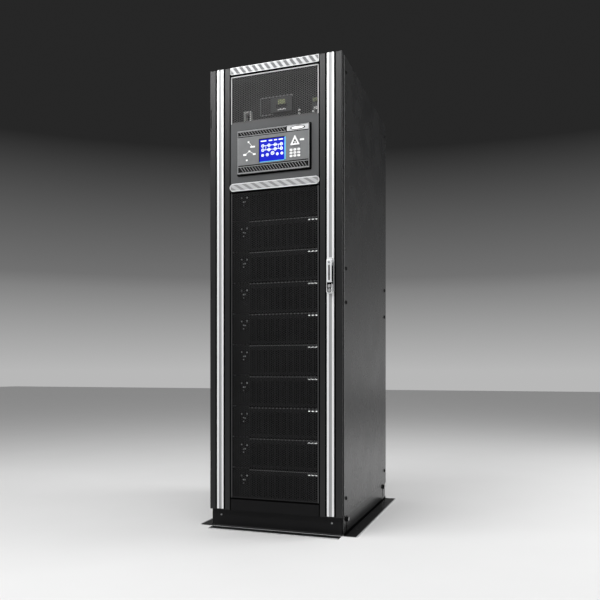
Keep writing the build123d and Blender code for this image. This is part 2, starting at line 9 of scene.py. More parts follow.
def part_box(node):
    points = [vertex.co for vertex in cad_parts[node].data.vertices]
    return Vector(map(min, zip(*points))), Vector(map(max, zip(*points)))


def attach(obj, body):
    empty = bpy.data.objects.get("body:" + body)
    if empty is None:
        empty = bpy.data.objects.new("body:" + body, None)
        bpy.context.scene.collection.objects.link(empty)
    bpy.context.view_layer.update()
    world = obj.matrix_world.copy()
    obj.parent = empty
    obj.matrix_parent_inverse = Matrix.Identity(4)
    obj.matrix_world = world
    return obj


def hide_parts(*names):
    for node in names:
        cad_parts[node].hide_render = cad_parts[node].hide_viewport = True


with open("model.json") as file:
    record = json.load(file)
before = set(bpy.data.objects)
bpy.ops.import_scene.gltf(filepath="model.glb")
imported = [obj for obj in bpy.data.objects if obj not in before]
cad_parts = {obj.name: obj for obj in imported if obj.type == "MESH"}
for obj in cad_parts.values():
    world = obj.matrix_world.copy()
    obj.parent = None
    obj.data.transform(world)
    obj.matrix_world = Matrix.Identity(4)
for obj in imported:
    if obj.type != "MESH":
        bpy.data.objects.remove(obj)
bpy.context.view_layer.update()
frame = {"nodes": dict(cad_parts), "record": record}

MM = 0.001

# Perforated door sheets
hole_pitch = 9.3 * MM
hole_across = 7.4 * MM
sheet_thickness = 1.5 * MM
sheet_border = 9.5 * MM
lattice_inset = 0.2 * MM
bead_inset = 7.4 * MM
top_bead_drop = 2.5 * MM
bead_width = 4.6 * MM
bead_height = 1.6 * MM
# Painted shadow strips in black across each sheet: its end (0 foot, 1 top), the offset from there, height and reach,
# in millimetres
mesh_end_shadows = {"upper_mesh": [(1, -3.6, 7, 0.6)], "lower_mesh": [(0, 2, 7, 3.2), (1, -4, 8, 1.2)]}
mesh_parts = {"upper_mesh": 1, "lower_mesh": 2}

# Black strips of painted shadow in the door's upright gaps: width, and how far they stand out of their seat
middle_gap_shade_width = 4.6 * MM
middle_gap_shade_reach = 0.35 * MM
middle_gap_shade_depth = 2.5 * MM
trim_gap_shade_width = 7.5 * MM
trim_gap_shade_reach = 2.75 * MM

# From here on, a plate is its middle U and V, width, height and corner radius, in millimetres.
# Module fronts, from the middle of each front's top edge. The top module carries no marking
module_count = 10
marked_count = module_count - 1
fascia_setback = 4 * MM
grille_x, grille_width = 22.5, 325
slot_count, slot_gap = 11, 7
slot_pitch = (grille_width - slot_gap) / slot_count
module_slots = [(grille_x + (slot - (slot_count - 1) / 2) * slot_pitch, -73, slot_pitch - slot_gap, 98, 3)
                for slot in range(slot_count)]
# Painted highlight along the top edge, and painted shadow in the gap above it
top_edge_highlight = (grille_x, -5.4, grille_width, 2.4, 0.8)
top_gap = (grille_x, 0.5, grille_width, 6.6, 0.8)
marking_plate = (154, -15, 50, 11, 2)
bar_count, bar_gap = 3, 3
bars_low_x, bars_high_x = 131, 177
bar_pitch = (bars_high_x - bars_low_x) / bar_count
marking_bars = [(bars_low_x + (bar + 0.5) * bar_pitch, -15, bar_pitch - bar_gap, 5, 2) for bar in range(bar_count)]
light_window = (-165, -49.5, 44, 54, 4)
module_lights = [(-178, -33, 7, 7, 2), (-152, -33, 8, 8, 2), (-165, -51, 15, 6, 2), (-168, -66, 5, 5, 2)]
ear_screw_inset = 9 * MM
ear_screw_drops = [22, 111]
ear_screw_profile = [(0, 1), (2, 1), (2, 2.6), (3.4, 2.4), (4.2, 1.2), (4.2, 0)]

# Display front, in the cabinet's X and Z. Icons on the screen have a share of the way to its edges
band_edge = 5 * MM
upper_band_depth = 26.5 * MM
lower_band_depth = 32.5 * MM
band_end_margin = 6 * MM
rib_pitch, rib_width, rib_height, rib_lean = 13 * MM, 2 * MM, 0.8 * MM, 0.5
rail_height, rail_gap = 2.2 * MM, 2 * MM
face_height = 1.2 * MM
face_margin = 7 * MM
face_foot_gap, face_top_gap = 5 * MM, 4 * MM
badge_left = 64 * MM
badge_gap = 4 * MM
badge_oval_x = 112 * MM
badge_oval_radii = (33 * MM, 8.5 * MM)
badge_inner_radii = (28 * MM, 5.9 * MM)
status_bars = [(-0.68, 26), (-0.12, 16), (0.28, 14), (0.7, 20)]
path_heights = [0.42, 0.04]
path_places = [-0.74, -0.25, 0.25, 0.74]
round_icons = [(-0.76, -0.42, 6), (-0.38, -0.40, 6.5), (0.04, -0.30, 8), (0.42, -0.42, 6), (0.78, -0.40, 6)]
icon_line = 2.6
power_path = [(-111, 1665, 8, 7), (-92, 1643, 22, 7), (-107, 1625, 9, 7), (-128, 1612, 15, 8), (-84, 1611, 13, 7),
              (-119, 1588, 8, 7)]
power_lines = [(0, 1), (2, 3), (2, 4)]
cover_apex = (101 * MM, 1671 * MM)
cover_foot_z = 1629 * MM
cover_width = 42 * MM
cover_bar = 6.6 * MM
cover_height = 5 * MM
button_rise = 12 * MM
button_profile = [(0, 3.4), (3.6, 3.2), (4.6, 2.4), (4.8, 0.4)]
button_marking = (131, 1650, 19, 8, 2.5)
key_x, key_z = 100, 1598
key_pitch_x, key_pitch_z = 17, 12.8
key_height = 1.6

# Switch compartment, from the unit's top or foot where a piece belongs to it
switch_label = (0, -22, 34, 20, 2)
label_bar = (0, 11, 40, 5, 1.5)
rocker = (0, 26, 50, 12, 2)
surround_outer = (-22.5, 1850.5, 153, 79, 3)
surround_inner = (-22.5, 1850.5, 148, 74, 2)
terminal_marks = [(166, 1807, 19, 12, 2), (156, 1789, 9, 18, 2)]
terminal_blocks = [(x, 1846, 7.5, 15, 1.5) for x in (155, 165, 175)]
pointers = [[(-8, 1785), (1, 1785), (-8, 1797)], [(3, 1785), (12, 1785), (3, 1794)]]
screw_spots = [(84, 1817), (84, 1802)]
screw_profile = [(0, 3.2), (2.5, 3.2), (5, 2), (5.2, 0)]

# Fasteners, with their places in millimetres
head_profile = [(0, 0.2), (0.45, 0.2), (0.5, 0.55), (0.72, 0.5), (0.93, 0.28), (1, 0)]
panel_screw_radius = 8.5 * MM
panel_screw_spots = [(y, z) for y in (-388.5, 412) for z in (1935, 1113.5, 972, 151.5)]
rear_screw_inset = 12 * MM
rear_screw_heights = [1930, 1560, 1440, 780, 140]
plinth_screw_radius = 4.5 * MM
plinth_screw_spots = [(-256, 52), (250, 51)]
bolt_radius, bolt_height, crown_height, washer_height = 10, 10, 0.5, 1.6
washer_profile = [(0, washer_height), (1.35 * bolt_radius, washer_height), (1.45 * bolt_radius, 1.2),
                  (1.45 * bolt_radius, 0)]
# Side bolts: Y and Z, the width of the slot below, and whether painted highlights show along the slot's edges
side_bolts = [(-380, 63, 10, False), (373, 71, 24, True)]
slot_foot = 6
slot_highlight_width = 8

# Upright seams where the side panels meet the front posts: places and widths along Y. The edge strips are painted
# highlights, the gap strip painted shadow
seam_lines = {"edge": [(-437.5, 2.4), (-414.5, 3)], "gap": [(-428.5, 11)]}
seam_margin = 4 * MM

# Floor brackets
bracket_sheet = 3 * MM
bracket_flange = 60 * MM
# How far from the bend its painted highlight lies
bend_highlight_reach = 12 * MM
# Black wedge of painted shade in each side bracket's inner corner: its size and inset from the ends
crease_shade = 7 * MM
crease_shade_inset = 2 * MM
panel_foot_size = (30 * MM, 14 * MM)

# Handle: painted shade in the dish's recess, in the lever's groove and along its side, and in the gaps and the key
# slot of the lock
recess_margins, recess_radius = (5 * MM, 6 * MM), 10.5 * MM
groove_foot_margin, groove_top_margin = 7 * MM, 24 * MM
groove_width = 6.4 * MM
edge_shade_margins = (2 * MM, 6 * MM)
button_drop, cylinder_rise = 6.2 * MM, 6.7 * MM
button_gap_outer, button_gap_inner = (20 * MM, 20 * MM, 2 * MM), (12.6 * MM, 12.6 * MM, 1 * MM)
cylinder_gap_radii = (9.6 * MM, 7 * MM)
key_slot_size = (2.4 * MM, 8 * MM)

# Places on the object: local U runs right and V up on the surface, and W comes out of it
facings = {
    "front": ((1, 0, 0), (0, 0, 1), (0, -1, 0)),
    "back": ((-1, 0, 0), (0, 0, 1), (0, 1, 0)),
    "right": ((0, 1, 0), (0, 0, 1), (1, 0, 0)),
    "left": ((0, -1, 0), (0, 0, 1), (-1, 0, 0)),
}
sides = (("right", 1), ("left", -1))
door_slots = ("door_paint", "silver_trim", "mesh_steel", "display_grey", "screen_glass", "handle_metal")


class Span:
    """The box of a CAD node: its low and high corner, its middle and its size."""

    def __init__(self, corners):
        self.low, self.high = corners
        self.middle = (self.low + self.high) / 2
        self.size = self.high - self.low


def on_face(side, place):
    """The matrix that takes a local U, V, W point to the object, with its origin at place."""
    columns = [Vector(axis) for axis in facings[side]]
    turn = Matrix(columns).transposed().to_4x4()
    return Matrix.Translation(Vector(place)) @ turn


def rounded(u, v, width, height, radius, steps=5):
    """The outline of a rounded rectangle about a middle point."""
    points = []
    for side_u, side_v, start in ((1, 1, 0), (-1, 1, 90), (-1, -1, 180), (1, -1, 270)):
        corner_u = u + side_u * (width / 2 - radius)
        corner_v = v + side_v * (height / 2 - radius)
        for step in range(steps + 1):
            angle = radians(start + 90 * step / steps)
            points.append((corner_u + radius * cos(angle), corner_v + radius * sin(angle)))
    return points


def outline(size):
    """The outline of a plate written in millimetres."""
    return rounded(*(value * MM for value in size))


def around(box, grow, radius):
    """The rounded outline of a box seen from the front, with its width and height grown by this much."""
    return rounded(box.middle.x, box.middle.z, box.size.x + grow, box.size.z + grow, radius)


def ring(u, v, radius, steps, start=0.0, radius_v=None):
    """The outline of a regular polygon or circle, or with a second radius of an ellipse."""
    angles = [radians(start) + 2 * pi * step / steps for step in range(steps)]
    return [(u + radius * cos(angle), v + (radius_v or radius) * sin(angle)) for angle in angles]


def prism(points, low, high):
    """A plate with this outline, from low to high along W."""
    count = len(points)
    vertices = [(u, v, low) for u, v in points] + [(u, v, high) for u, v in points]
    faces = [tuple(reversed(range(count))), tuple(range(count, 2 * count))]
    faces += [(i, (i + 1) % count, count + (i + 1) % count, count + i) for i in range(count)]
    return vertices, faces


def slab(u, v, width, height, radius, low, high):
    """A plate with rounded corners about a middle point, from low to high along W."""
    return prism(rounded(u, v, width, height, radius), low, high)


def plate(size, low, high):
    """A plate from low to high along W, all in millimetres."""
    return prism(outline(size), low * MM, high * MM)


def frame_plate(outer, inner, low, high):
    """A flat ring between two outlines that have the same number of points."""
    count = len(outer)
    vertices = [(u, v, w) for points, w in ((outer, high), (inner, high), (inner, low), (outer, low))
                for u, v in points]
    faces = []
    for band in range(4):
        near, far = band * count, (band + 1) % 4 * count
        faces += [(near + i, near + (i + 1) % count, far + (i + 1) % count, far + i) for i in range(count)]
    return vertices, faces


def lathe(u, v, profile, scale, steps):
    """A turned shape about W. The profile is a list of radius and W, from the middle of the top outwards."""
    vertices, faces = [], []
    for radius, w in profile:
        vertices += [(u + scale * radius * cos(2 * pi * i / steps), v + scale * radius * sin(2 * pi * i / steps),
                      scale * w) for i in range(steps)]
    for band in range(len(profile) - 1):
        near, far = band * steps, (band + 1) * steps
        faces += [(near + i, far + i, far + (i + 1) % steps, near + (i + 1) % steps) for i in range(steps)]
    faces.append(tuple(range(steps)))
    return vertices, faces


def placed(matrix, shapes):
    """The shapes joined, and moved from local to object coordinates."""
    vertices, faces = [], []
    for points, loops in shapes:
        start = len(vertices)
        vertices += [matrix @ Vector(point) for point in points]
        faces += [tuple(start + index for index in loop) for loop in loops]
    return vertices, faces


def new_object(name, data):
    """A new object in the scene."""
    made = bpy.data.objects.new(name, data)
    bpy.context.scene.collection.objects.link(made)
    return made


def mesh_object(name, vertices, faces, material):
    """A new object with this mesh."""
    mesh = bpy.data.meshes.new(name)
    mesh.from_pydata(vertices, [], faces)
    mesh.materials.append(material)
    mesh.update()
    return new_object(name, mesh)


def piece(name, face, shapes, material, slot, bevel=0.0, body=None):
    """A new object from shapes on a face. It rides on the body that is given, or else on its slot's."""
    made = mesh_object(name, *placed(face, shapes), material)
    if bevel:
        rounding = made.modifiers.new("edge rounding", "BEVEL")
        rounding.width = bevel
        rounding.segments = 2
        rounding.limit_method = "ANGLE"
        rounding.angle_limit = radians(40)
        rounding.harden_normals = True
    body = body or ("door" if slot in door_slots else "cabinet")
    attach(made, body)
    return made


class Nodes:
    """Adds nodes to a tree. An input takes a number, a colour, a vector or another node's socket."""

    def __init__(self, tree):
        self.tree = tree

    def feed(self, node, inputs):
        """Set or link a node's inputs, by their name or number."""
        for key, value in inputs.items():
            socket = node.inputs[key]
            if isinstance(value, bpy.types.NodeSocket):
                self.tree.links.new(value, socket)
            else:
                socket.default_value = (*value, 1) if socket.type == "RGBA" else value

    def add(self, kind, inputs):
        """A new node with these inputs."""
        node = self.tree.nodes.new(kind)
        self.feed(node, inputs)
        return node

    def calc(self, operation, *inputs):
        """The result of a Math node."""
        node = self.add("ShaderNodeMath", dict(enumerate(inputs)))
        node.operation = operation
        return node.outputs[0]

    def remap(self, value, low, high, from_low=0.3, from_high=0.7):
        """The value spread between two limits."""
        return self.add("ShaderNodeMapRange", {"Value": value, "From Min": from_low, "From Max": from_high,
                                               "To Min": low, "To Max": high}).outputs["Result"]

    def mix(self, value, first, second):
        """A colour between two, chosen by a value from 0 to 1."""
        node = self.tree.nodes.new("ShaderNodeMix")
        node.data_type = "RGBA"
        self.feed(node, {"Factor": value, 6: first, 7: second})
        return node.outputs[2]


class Finish(Nodes):
    """A new material: its Principled shader with some inputs set, and the place on the object."""

    def __init__(self, name, inputs):
        self.material = bpy.data.materials.new(name)
        self.material.use_nodes = True
        super().__init__(self.material.node_tree)
        self.shader = next(node for node in self.tree.nodes if node.type == "BSDF_PRINCIPLED")
        self.place = self.add("ShaderNodeTexCoord", {}).outputs["Object"]
        self.feed(self.shader, inputs)

    def axis(self, name):
        """One coordinate of the place on the object."""
        return self.add("ShaderNodeSeparateXYZ", {"Vector": self.place}).outputs[name]

    def noise(self, scale, detail, stretch=(1, 1, 1)):
        """A noise value about features of 1 / scale metres, longer along an axis whose stretch is small."""
        mapping = self.add("ShaderNodeMapping", {"Vector": self.place, "Scale": [scale * part for part in stretch]})
        return self.add("ShaderNodeTexNoise", {"Vector": mapping.outputs["Vector"], "Scale": 1.0,
                                               "Detail": detail}).outputs["Fac"]

    def mottle(self, value, colour, dark, light):
        """The colour made darker and lighter by a noise value."""
        return self.mix(self.remap(value, 0, 1), shade(colour, dark), shade(colour, light))

    def done(self, colour, roughness, relief, depth, strength, edge):
        """The material with its colour, roughness and relief, and with edges that catch the light."""
        soft_edges = self.add("ShaderNodeBevel", {"Radius": edge})
        soft_edges.samples = 4
        bump = self.add("ShaderNodeBump", {"Height": relief, "Distance": depth, "Strength": strength,
                                           "Normal": soft_edges.outputs["Normal"]})
        self.feed(self.shader, {"Base Color": colour, "Roughness": roughness, "Normal": bump.outputs["Normal"]})
        return self.material


def shade(colour, factor):
    """The colour made lighter or darker."""
    return tuple(min(1.0, channel * factor) for channel in colour)


# The orange peel of powder coat, and the stretch of noise into brushed lines
peel_scale = 1 / (1.6 * MM)
lines_along_x = (0.006, 1, 1)
lines_along_z = (1, 1, 0.006)


def powder_coat(name, colour, roughness, depth=0.05 * MM, edge=0.8 * MM, variation=0.12, gloss=0.5):
    """Satin powder coat: orange peel, a slight mottle, and handling marks that change its gloss."""
    paint = Finish(name, {"Specular IOR Level": gloss})
    smears = paint.remap(paint.noise(7, 3), roughness - 0.02, roughness + 0.025)
    return paint.done(paint.mottle(paint.noise(9, 4), colour, 1 - variation, 1 + variation), smears,
                      paint.noise(peel_scale, 1), depth, 0.5, edge)


def moulding(name, colour, roughness, grain=0.7 * MM, depth=0.06 * MM, edge=0.6 * MM, gloss=0.4):
    """Moulded plastic with a fine spark texture."""
    plastic = Finish(name, {"Specular IOR Level": gloss})
    smears = plastic.remap(plastic.noise(55, 2), roughness - 0.04, roughness + 0.05)
    return plastic.done(plastic.mottle(plastic.noise(30, 3), colour, 0.93, 1.07), smears,
                        plastic.noise(1 / grain, 2), depth, 0.6, edge)


def brushed_metal(name, colour, roughness, stretch, metallic, line=0.25 * MM, depth=0.012 * MM):
    """Brushed and anodised metal, its lines running along the axis whose stretch is small."""
    metal = Finish(name, {"Metallic": metallic})
    lines = metal.noise(1 / line, 3, stretch)
    smears = metal.remap(metal.noise(18, 3), roughness - 0.04, roughness + 0.05)
    return metal.done(metal.mottle(lines, colour, 0.9, 1.06), smears, lines, depth, 0.7, 0.5 * MM)


def plated_steel(name, colour, roughness):
    """Zinc plated steel with its faint spangle."""
    steel = Finish(name, {"Metallic": 1.0})
    cells = steel.add("ShaderNodeTexVoronoi", {"Vector": steel.place, "Scale": 160}).outputs["Distance"]
    smears = steel.remap(steel.noise(40, 3), roughness - 0.07, roughness + 0.08)
    return steel.done(steel.mix(cells, shade(colour, 0.88), shade(colour, 1.1)), smears,
                      steel.noise(900, 2, (0.1, 1, 1)), 0.01 * MM, 0.5, 0.4 * MM)


def trim_metal(name, node, flute, bright, dull, roughness):
    """Anodised strips brushed along their length, their ridges painted lighter as a highlight and glossier than the
    fluted middle.
    """
    metal = Finish(name, {"Metallic": 0.15})
    middle_x = Span(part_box(node)).middle.x
    off_middle = metal.calc("ABSOLUTE", metal.calc("SUBTRACT", metal.calc("ABSOLUTE", metal.axis("X")), middle_x))
    ridge_highlight = metal.remap(off_middle, 0, 1, flute / 2, flute / 2 + 1 * MM)
    lines = metal.noise(4000, 3, lines_along_z)
    return metal.done(metal.mix(ridge_highlight, metal.mottle(lines, dull, 0.92, 1.06), bright),
                      metal.remap(ridge_highlight, roughness + 0.1, roughness, 0, 1), lines, 0.012 * MM, 0.7, 0.8 * MM)


def hatched_metal(name, node, margin, end_seal, pitch, slant, share, border_colour, light_colour, dark_colour):
    """A strip whose front has a plain border round slanting pressed bars, and black seals at its ends."""
    metal = Finish(name, {"Metallic": 0.3})
    calc, remap, mottle = metal.calc, metal.remap, metal.mottle
    box = Span(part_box(node))
    x = metal.axis("X")
    up = calc("SUBTRACT", metal.axis("Z"), box.middle.z)
    along = calc("ABSOLUTE", x)
    seal_start = box.high.x - end_seal

    def stripes(lean, spacing):
        """A value that runs up and down across slanting stripes."""
        return calc("PINGPONG", calc("MULTIPLY", calc("MULTIPLY_ADD", up, lean, x), 2 / spacing), 1.0)

    bars = remap(stripes(slant, pitch), 0, 1, share - 0.06, share + 0.06)
    knurl = stripes(-1.2, 2.4 * MM)
    near_edge = calc("SUBTRACT", calc("ABSOLUTE", up), box.size.z / 2 - margin)
    near_end = calc("SUBTRACT", along, seal_start - margin)
    border = remap(calc("MAXIMUM", near_edge, near_end), 0, 1, -0.3 * MM, 0.3 * MM)
    lines = metal.noise(4000, 2, lines_along_x)
    pressed = metal.mix(bars, metal.mix(knurl, shade(dark_colour, 0.75), shade(dark_colour, 1.25)),
                        mottle(lines, light_colour, 0.92, 1.05))
    hatched = metal.mix(border, pressed, mottle(lines, border_colour, 0.95, 1.04))
    sealed = remap(along, 0, 1, seal_start, seal_start + 0.2 * MM)
    behind = remap(metal.axis("Y"), 0, 1, box.low.y + 1.5 * MM, box.low.y + 2 * MM)
    relief = calc("MAXIMUM", border, calc("MULTIPLY_ADD", knurl, 0.2, calc("MULTIPLY", bars, 0.8)))
    return metal.done(metal.mix(calc("MAXIMUM", sealed, behind), hatched, (0.01, 0.01, 0.01)),
                      remap(bars, 0.5, 0.36, 0, 1), relief, 0.4 * MM, 0.8, 0.6 * MM)


def bracket_coat(node, axis, bend_highlight_share, colour, gloss, roughness):
    """Powder coat of a floor bracket, with a painted highlight along the foot's outer edge and beside its bend,
    glossier there too.
    """
    paint = Finish(f"{node} powder coat", {"Specular IOR Level": gloss})
    calc, remap = paint.calc, paint.remap
    low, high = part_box(node)
    reach = max(abs(low[axis]), abs(high[axis]))
    out = calc("ABSOLUTE", paint.axis("XYZ"[axis]))
    on_foot = remap(paint.axis("Z"), 1, 0, bracket_sheet + 1 * MM, bracket_sheet + 3 * MM)
    edge = remap(out, 0, 1, reach - 6 * MM, reach - 5 * MM)
    from_bend = calc("ABSOLUTE", calc("SUBTRACT", out, reach - bracket_flange + bend_highlight_reach))
    bend = remap(from_bend, bend_highlight_share, 0, 2.5 * MM, 4 * MM)
    bracket_highlight = calc("MULTIPLY", calc("MAXIMUM", edge, bend), on_foot)
    bracket_highlight = calc("MULTIPLY", bracket_highlight, remap(paint.noise(60, 4), 0.7, 1.0))
    # Painted highlight: light grey where the highlight mask is
    return paint.done(paint.mix(bracket_highlight, paint.mottle(paint.noise(9, 4), colour, 0.93, 1.07), (0.60, 0.605, 0.61)),
                      remap(bracket_highlight, roughness, roughness - 0.08, 0, 1), paint.noise(peel_scale, 1), 0.05 * MM, 0.5,
                      0.3 * MM)


def glowing(name, colour, strength, roughness=0.25, gloss=0.5):
    """A lit face under clear plastic, brighter where its backlight is."""
    lit = Finish(name, {"Roughness": roughness, "Specular IOR Level": gloss, "Emission Strength": strength})
    glow = lit.noise(22, 2)
    lit.feed(lit.shader, {"Emission Color": lit.mottle(glow, colour, 0.82, 1.12),
                          "Base Color": lit.mottle(glow, colour, 0.1, 0.15)})
    return lit.material


black_coat = powder_coat("black powder coat", (0.005, 0.0052, 0.0056), 0.27, depth=0.008 * MM, variation=0.04,
                         gloss=0.85)
frame_coat = powder_coat("frame powder coat", (0.010, 0.010, 0.0105), 0.46, variation=0.08, gloss=0.12)
door_coat = powder_coat("door powder coat", (0.015, 0.0153, 0.0157), 0.34, edge=2 * MM, variation=0.06, gloss=0.25)
roof_coat = powder_coat("roof powder coat", (0.012, 0.012, 0.0125), 0.5, variation=0.05, gloss=0.3)
bottom_coat = powder_coat("door foot powder coat", (0.008, 0.008, 0.0084), 0.42, variation=0.06, gloss=0.08)
mesh_coat = powder_coat("mesh powder coat", (0.024, 0.024, 0.0245), 0.38, edge=0.3 * MM, gloss=0.08)
# Painted light: the upper mesh is a lighter grey than the lower one, as if lit from above
upper_mesh_lit_coat = powder_coat("upper mesh coat painted lighter", (0.072, 0.072, 0.0725), 0.38, edge=0.3 * MM, gloss=0.16)
bead_coat = powder_coat("bead powder coat", (0.034, 0.035, 0.036), 0.35, edge=1 * MM, variation=0.06)
# Painted highlight along the edges of the side seams
seam_highlight_coat = powder_coat("seam highlight powder coat", (0.19, 0.192, 0.194), 0.4, variation=0.05)
# Painted highlight: pale coat for the upper mesh's bead and beside the rear bracket slot
painted_highlight_coat = powder_coat("painted highlight powder coat", (0.38, 0.383, 0.386), 0.35, edge=1 * MM, variation=0.06)
compartment_coat = powder_coat("compartment paint", (0.010, 0.010, 0.0105), 0.5, gloss=0.1)
module_plastic = moulding("module front moulding", (0.011, 0.011, 0.0115), 0.5, gloss=0.05)
module_edge_highlight = moulding("module front edge highlight", (0.20, 0.202, 0.205), 0.4, depth=0.02 * MM)
# Black: the bands' own colour, and painted shade on the housing's sides
housing_black_with_side_shade = moulding("display housing moulding with painted side shade", (0.005, 0.005, 0.0055), 0.5, gloss=0.08)
face_plastic = moulding("display face moulding", (0.16, 0.165, 0.168), 0.45, gloss=0.25)
display_plate_coat = powder_coat("display plate paint", (0.058, 0.060, 0.062), 0.44, variation=0.06, gloss=0.3)
switch_plastic = moulding("switch moulding", (0.80, 0.80, 0.78), 0.45)
switch_dark = moulding("dark switch moulding", (0.035, 0.036, 0.038), 0.5)
band_plastic = moulding("display band moulding", (0.004, 0.004, 0.004), 0.5, gloss=0.05)
band_rib_plastic = moulding("display band rib", (0.30, 0.305, 0.31), 0.4, depth=0.02 * MM)
# Black that stands in for shade in gaps, grooves, recesses and corners
painted_shade_black = moulding("painted shade black", (0.002, 0.002, 0.002), 0.8, depth=0.02 * MM, gloss=0)
# Painted highlight: the ridges take the light colour, the fluted middle the dull one
trim_silver = trim_metal("brushed trim", "right_trim_strip", 12 * MM, (0.84, 0.845, 0.85), (0.31, 0.315, 0.32), 0.32)
badge_silver = brushed_metal("badge silver", (0.40, 0.405, 0.41), 0.38, lines_along_x, 0.3)
oval_silver = brushed_metal("badge oval silver", (0.95, 0.95, 0.95), 0.3, lines_along_x, 0.2)
cast_silver = brushed_metal("cast handle silver", (0.80, 0.81, 0.82), 0.36, lines_along_z, 0.3, 0.5 * MM, 0.02 * MM)
key_steel = plated_steel("key cylinder steel", (0.72, 0.72, 0.73), 0.36)
zinc_steel = plated_steel("zinc plated steel", (0.50, 0.51, 0.52), 0.36)
screw_black = moulding("blackened screw", (0.005, 0.005, 0.0052), 0.5, edge=0.4 * MM, gloss=0.12)
cap_hatch = hatched_metal("cap hatching", "door_top_cap", 3 * MM, 4 * MM, 28.7 * MM, 0.75, 0.5,
                          (0.46, 0.465, 0.47), (0.35, 0.355, 0.36), (0.115, 0.116, 0.12))
bar_hatch = hatched_metal("bar hatching", "divider_bar", 3.5 * MM, 0, 40 * MM, 1.5, 0.45,
                          (0.64, 0.65, 0.66), (0.38, 0.385, 0.39), (0.20, 0.203, 0.206))
bracket_coats = {node: bracket_coat(node, 1, 1, (0.008, 0.008, 0.0085), 0.15, 0.46)
                 for node in ("front_bracket", "rear_bracket")}
bracket_coats |= {node: bracket_coat(node, 0, 0, (0.006, 0.006, 0.0063), 0.6, 0.27)
                  for node in ("left_bracket", "right_bracket")}
print_white = moulding("white printing", (0.95, 0.95, 0.94), 0.5, grain=0.3 * MM, depth=0.01 * MM, edge=0.1 * MM)
dark_window = moulding("dark window", (0.01, 0.01, 0.012), 0.15, grain=1 * MM, depth=0.002 * MM, edge=0.2 * MM)
light_grey = moulding("light grey button", (0.62, 0.62, 0.62), 0.45)
key_white = moulding("pale keys", (0.92, 0.92, 0.92), 0.42)
dark_print = moulding("dark printing", (0.10, 0.10, 0.105), 0.5, grain=0.3 * MM, depth=0.01 * MM)
screen_blue = glowing("backlit blue", (0.001, 0.010, 0.62), 0.95, 0.35, 0.1)
screen_pale = glowing("backlit pale", (0.85, 0.95, 1.0), 1.25, 0.4, 0.15)
screen_edge = glowing("backlit edge", (0.16, 0.55, 0.85), 0.9, 0.4, 0.15)
lamp_pale = glowing("status light", (0.50, 0.52, 0.52), 0.4)
marking_pale = glowing("lit marking", (0.80, 0.82, 0.82), 1.0)
label_green = moulding("pale green label", (0.30, 0.34, 0.15), 0.5, depth=0.01 * MM)
# Black that stands in for the shade inside slots and holes
opening_shade_black = moulding("painted opening shade", (0.003, 0.003, 0.003), 0.8, depth=0.01 * MM, gloss=0)

slot_finishes = {
    "frame_steel": frame_coat, "panel_paint": black_coat, "galvanised_steel": zinc_steel,
    "compartment_paint": compartment_coat, "switch_moulding": switch_plastic, "module_casing": module_plastic,
    "door_paint": door_coat, "silver_trim": trim_silver, "mesh_steel": mesh_coat, "display_grey": housing_black_with_side_shade,
    "screen_glass": screen_blue, "handle_metal": cast_silver,
}
node_finishes = {
    "door_hinges": door_coat, "frame_hinges": door_coat, "upper_mesh": upper_mesh_lit_coat, "roof_panel": roof_coat,
    "terminal_cover": switch_dark, "door_top_cap": cap_hatch, "divider_bar": bar_hatch,
    "display_plate": display_plate_coat, "handle_lock": key_steel, "switch_unit": switch_dark,
    "door_bottom_plate": bottom_coat, **bracket_coats,
}
for subpart in frame["record"]["subparts"]:
    surface = frame["nodes"][subpart["node"]].data
    surface.materials.clear()
    surface.materials.append(node_finishes.get(subpart["node"], slot_finishes[subpart["material_slot"]]))


# Perforated door sheets: flat sheets with the real hexagonal holes, in the place of the CAD's closed ones

def lattice(low, high, front, back, part, parts):
    """One part of the cells with hexagonal holes, in upright rows, that cover a rectangle in U and V."""
    corner = hole_pitch / sqrt(3)
    hole_corner = hole_across / sqrt(3)
    column_pitch = hole_pitch * sqrt(3) / 2
    columns = int((high[0] - low[0]) / column_pitch) + 2
    rows = int((high[1] - low[1]) / hole_pitch) + 2
    start_u = (low[0] + high[0] - (columns - 1) * column_pitch) / 2
    start_v = (low[1] + high[1] - (rows - 1) * hole_pitch) / 2
    turns = [radians(60 * i) for i in range(6)]
    vertices, faces = [], []
    for column in range(columns):
        for row in range(rows * part // parts, min(rows * (part + 1) // parts, rows - column % 2)):
            u = start_u + column * column_pitch
            v = start_v + (row + 0.5 * (column % 2)) * hole_pitch
            first = len(vertices)
            for radius, w in ((corner, front), (hole_corner, front), (hole_corner, back), (corner, back)):
                vertices += [(u + radius * cos(turn), v + radius * sin(turn), w) for turn in turns]
            for band in range(3):
                near, far = first + 6 * band, first + 6 * band + 6
                faces += [(near + i, near + (i + 1) % 6, far + (i + 1) % 6, far + i) for i in range(6)]
    return vertices, faces


def bead(start, end):
    """A rounded bead between two points in U and V, square to the axes."""
    (u1, v1), (u2, v2) = start, end
    return slab((u1 + u2) / 2, (v1 + v2) / 2, abs(u2 - u1) + bead_width, abs(v2 - v1) + bead_width,
                0.49 * bead_width, 0, bead_height)


